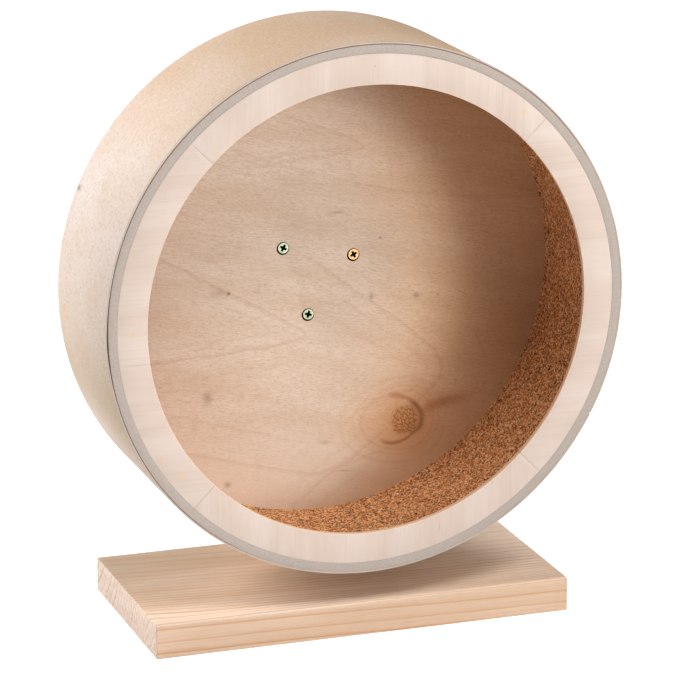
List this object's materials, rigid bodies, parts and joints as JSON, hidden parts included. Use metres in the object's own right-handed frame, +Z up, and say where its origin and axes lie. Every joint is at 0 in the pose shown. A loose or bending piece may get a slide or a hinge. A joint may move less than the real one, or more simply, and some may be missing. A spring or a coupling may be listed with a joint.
{
  "type": "rodent exercise wheel",
  "caption": "Wooden drum open at the front, lined with cork, that spins on a ball-bearing axle behind it, carried by an upright board on a flat base board.",
  "frame": {"origin": "centre of the underside of the base board", "axes": "+X to the right seen from the open front, +Y to the back along the wheel axis, +Z up"},
  "size_m": [0.28, 0.1473, 0.316],
  "materials": {
    "pine": "planed, clear oiled softwood",
    "ring_veneer": "sanded pale hardwood plywood",
    "disc_plywood": "sanded birch plywood",
    "wall_ply": "sanded edge of bent plywood",
    "skin_veneer": "pale bent veneer",
    "cork": "pressed cork granules",
    "hub_wood": "turned hardwood",
    "screw_zinc": "zinc plated, passivated",
    "bright_zinc": "bright zinc plated",
    "bearing_steel": "ground bearing steel",
    "shield_steel": "pressed steel sheet",
    "nylon": "natural nylon"
  },
  "bodies": {
    "stand": {"base_board": "pine", "upright_board": "pine", "upright_screws": "bright_zinc", "front_bearing_outer_ring": "bearing_steel", "front_bearing_shields": "shield_steel", "rear_bearing_outer_ring": "bearing_steel", "rear_bearing_shields": "shield_steel"},
    "wheel": {"drum_wall": "wall_ply", "drum_skin": "skin_veneer", "cork_tread": "cork", "back_disc": "disc_plywood", "ring_segment_top": "ring_veneer", "ring_segment_right": "ring_veneer", "ring_segment_bottom": "ring_veneer", "ring_segment_left": "ring_veneer", "hub_block": "hub_wood", "hub_screws": "screw_zinc", "axle_bolt": "bright_zinc", "hub_washer": "bright_zinc", "hub_nut": "bright_zinc", "axle_spacer": "bright_zinc", "front_bearing_inner_ring": "bearing_steel", "bearing_sleeve": "bright_zinc", "rear_bearing_inner_ring": "bearing_steel", "end_washer": "bright_zinc", "lock_nut": "bright_zinc", "lock_nut_insert": "nylon"},
    "front_cage": {"front_bearing_cage": "nylon", "front_bearing_balls": "bearing_steel"},
    "rear_cage": {"rear_bearing_cage": "nylon", "rear_bearing_balls": "bearing_steel"}
  },
  "joints": [
    {"name": "wheel_spin", "type": "hinge", "parent": "stand", "child": "wheel", "pos_m": [0, 0, 0.176], "axis": [0, 1, 0], "continuous": true},
    {"name": "front_cage_spin", "type": "hinge", "parent": "stand", "child": "front_cage", "pos_m": [0, 0, 0.176], "axis": [0, 1, 0], "continuous": true},
    {"name": "rear_cage_spin", "type": "hinge", "parent": "stand", "child": "rear_cage", "pos_m": [0, 0, 0.176], "axis": [0, 1, 0], "continuous": true}
  ],
  "couplings": [
    {"joint": "front_cage_spin", "follows": "wheel_spin", "ratio": 0.36773},
    {"joint": "rear_cage_spin", "follows": "wheel_spin", "ratio": 0.36773}
  ]
}
